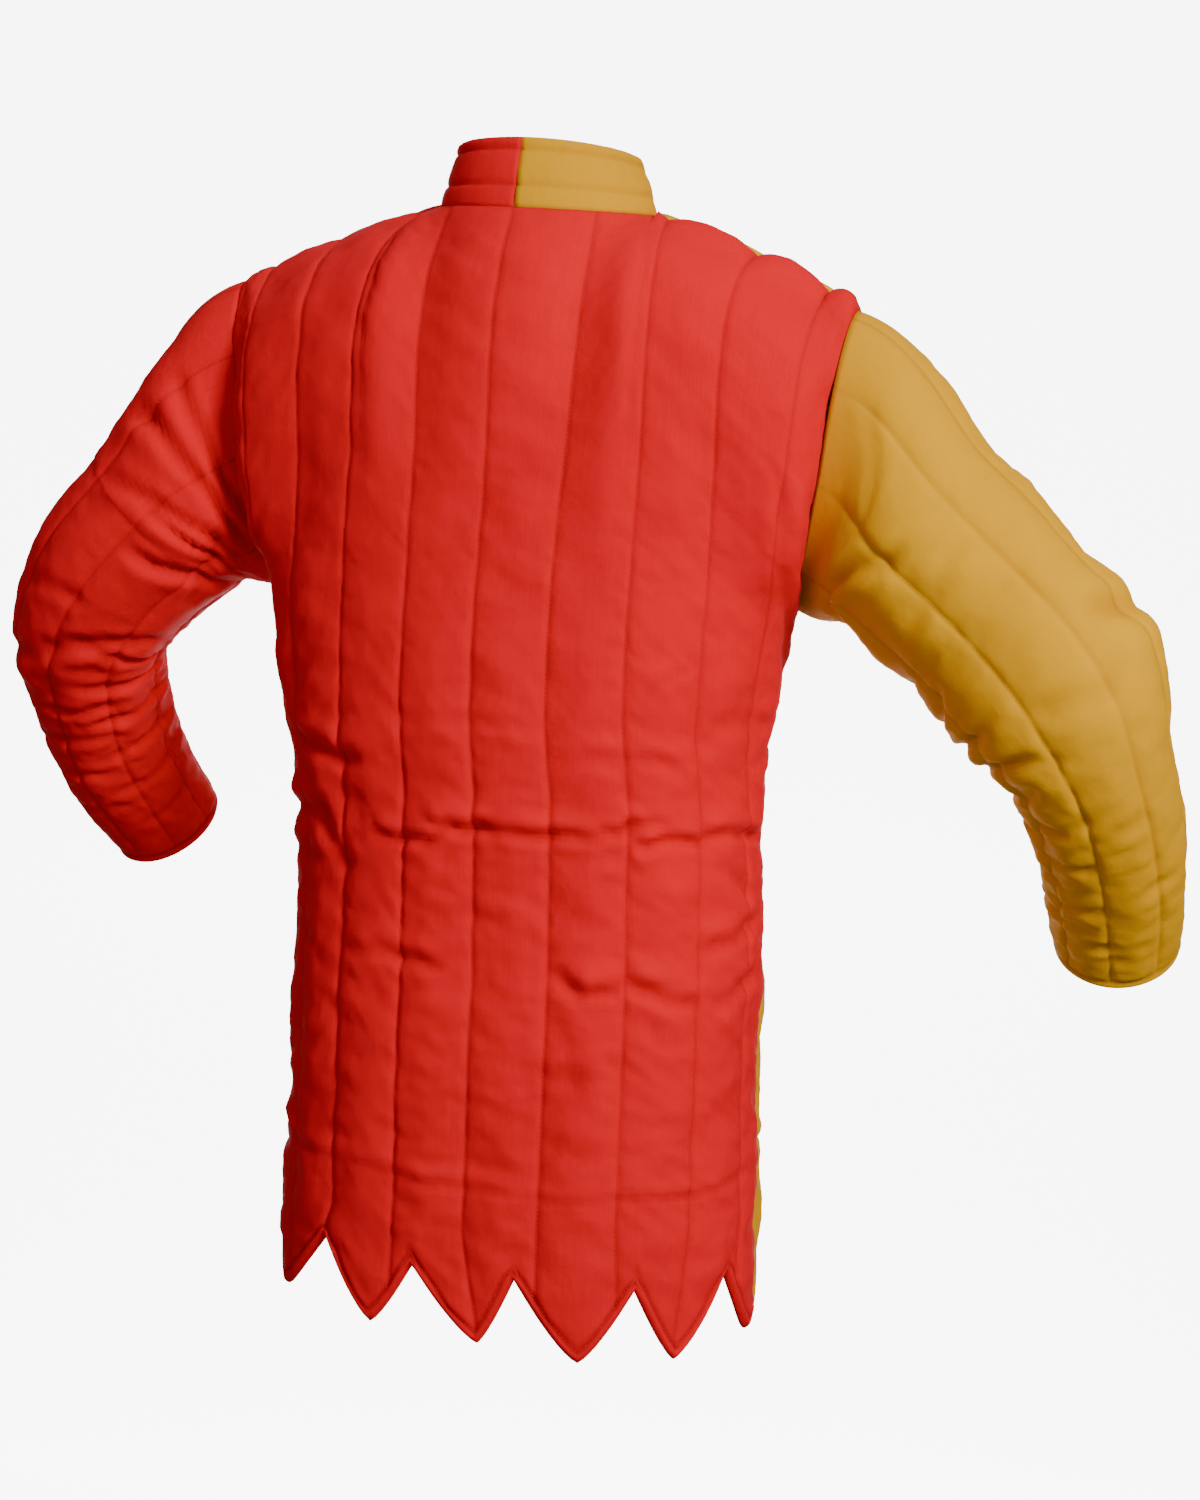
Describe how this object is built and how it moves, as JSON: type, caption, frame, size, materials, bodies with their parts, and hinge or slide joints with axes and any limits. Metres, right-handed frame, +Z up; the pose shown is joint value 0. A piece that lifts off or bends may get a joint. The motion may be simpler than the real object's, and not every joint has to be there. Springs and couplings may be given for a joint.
{
  "type": "gambeson",
  "caption": "Quilted padded jacket for the body and arms: stand collar, long sleeves, lengthwise channels and a dagged hem, hollow and open as worn.",
  "frame": {"origin": "middle of the neckline, where the wearer's neck and shoulders carry the garment", "axes": "+Z up the wearer's back, -Y towards the wearer's front, +X towards the wearer's left"},
  "size_m": [0.9866, 0.3589, 0.9226],
  "materials": {
    "red_cloth": "matte",
    "yellow_cloth": "matte",
    "button_metal": "satin"
  },
  "bodies": {
    "root": {"back": "red_cloth", "front_left": "red_cloth", "front_right": "yellow_cloth", "collar_left": "red_cloth", "collar_right": "yellow_cloth", "sleeve_left": "red_cloth", "sleeve_right": "yellow_cloth", "button_1": "button_metal", "button_2": "button_metal", "button_3": "button_metal", "button_4": "button_metal", "button_5": "button_metal", "button_6": "button_metal", "button_7": "button_metal", "button_8": "button_metal", "button_9": "button_metal"}
  },
  "joints": []
}
